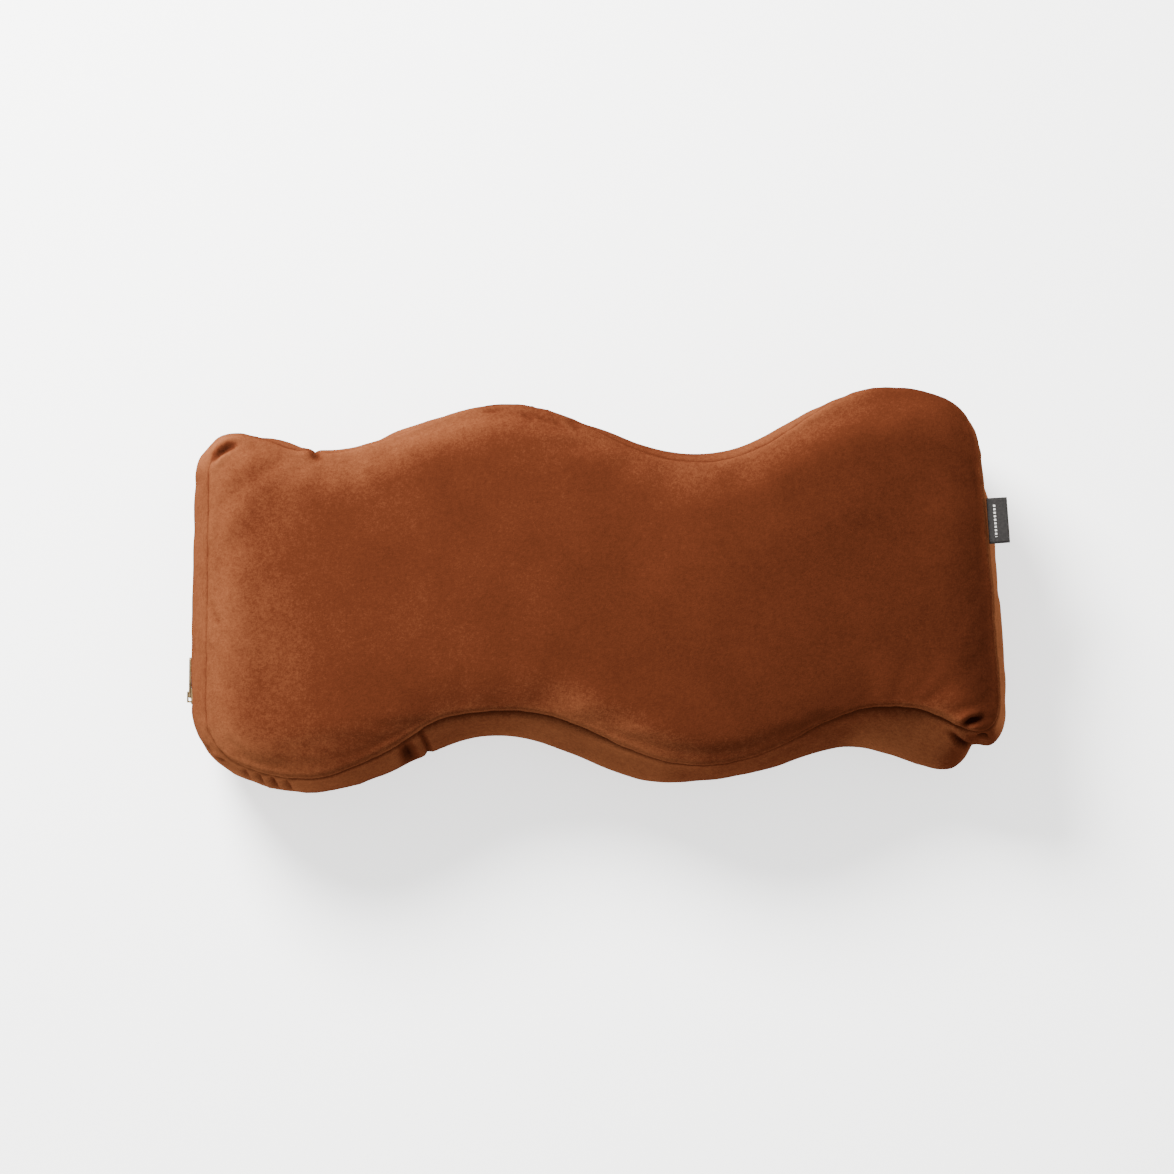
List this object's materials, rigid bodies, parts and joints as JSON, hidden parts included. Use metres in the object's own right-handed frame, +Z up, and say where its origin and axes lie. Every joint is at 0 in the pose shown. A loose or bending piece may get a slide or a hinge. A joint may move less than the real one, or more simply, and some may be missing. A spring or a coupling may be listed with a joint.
{
  "type": "camp pillow",
  "caption": "Wave-edged boxed pillow: foam block in a cotton liner inside a zipped velvet cover with a folded side label.",
  "frame": {"origin": "on the resting surface, under the middle of the pillow's overall box", "axes": "+X along the pillow towards the end with the side label, +Y towards the pillow's back, +Z up"},
  "size_m": [0.4888, 0.244, 0.106],
  "materials": {
    "velvet": "rust-brown velvet with a short nap and a soft sheen",
    "liner_cotton": "plain woven unbleached cotton",
    "foam": "open-cell polyurethane foam, matte",
    "zip_tape": "woven polyester tape",
    "zip_teeth": "satin nylon coil",
    "zip_metal": "antique brass plating, satin",
    "label": "dense charcoal woven ribbon"
  },
  "bodies": {
    "pillow": {"cover_top_panel": "velvet", "cover_bottom_panel": "velvet", "cover_main_boxing": "velvet", "cover_zip_boxing_upper": "velvet", "cover_zip_boxing_lower": "velvet", "liner_top": "liner_cotton", "liner_bottom": "liner_cotton", "liner_boxing": "liner_cotton", "foam_core": "foam", "zip_tape_upper": "zip_tape", "zip_tape_lower": "zip_tape", "zip_teeth_upper": "zip_teeth", "zip_teeth_lower": "zip_teeth", "zip_front_stop": "zip_metal", "zip_back_stop": "zip_metal"},
    "slider": {"zip_slider": "zip_metal"},
    "pull_tab": {"zip_pull_tab": "zip_metal"},
    "label": {"side_label": "label"}
  },
  "joints": [
    {"name": "slider_travel", "type": "slide", "parent": "pillow", "child": "slider", "axis": [0, 1, 0], "range_m": [0, 0.1197]},
    {"name": "tab_swing", "type": "hinge", "parent": "slider", "child": "pull_tab", "pos_m": [-0.24252, -0.06106, 0.051], "axis": [0, 0, 1], "range_deg": [0, 175]},
    {"name": "label_flap", "type": "hinge", "parent": "pillow", "child": "label", "pos_m": [0.22755, 0.0386, 0.0892], "axis": [-0.0599, 0.9982, 0], "range_deg": [-60, 40], "stiffness_Nm_per_rad": 0.0005}
  ]
}
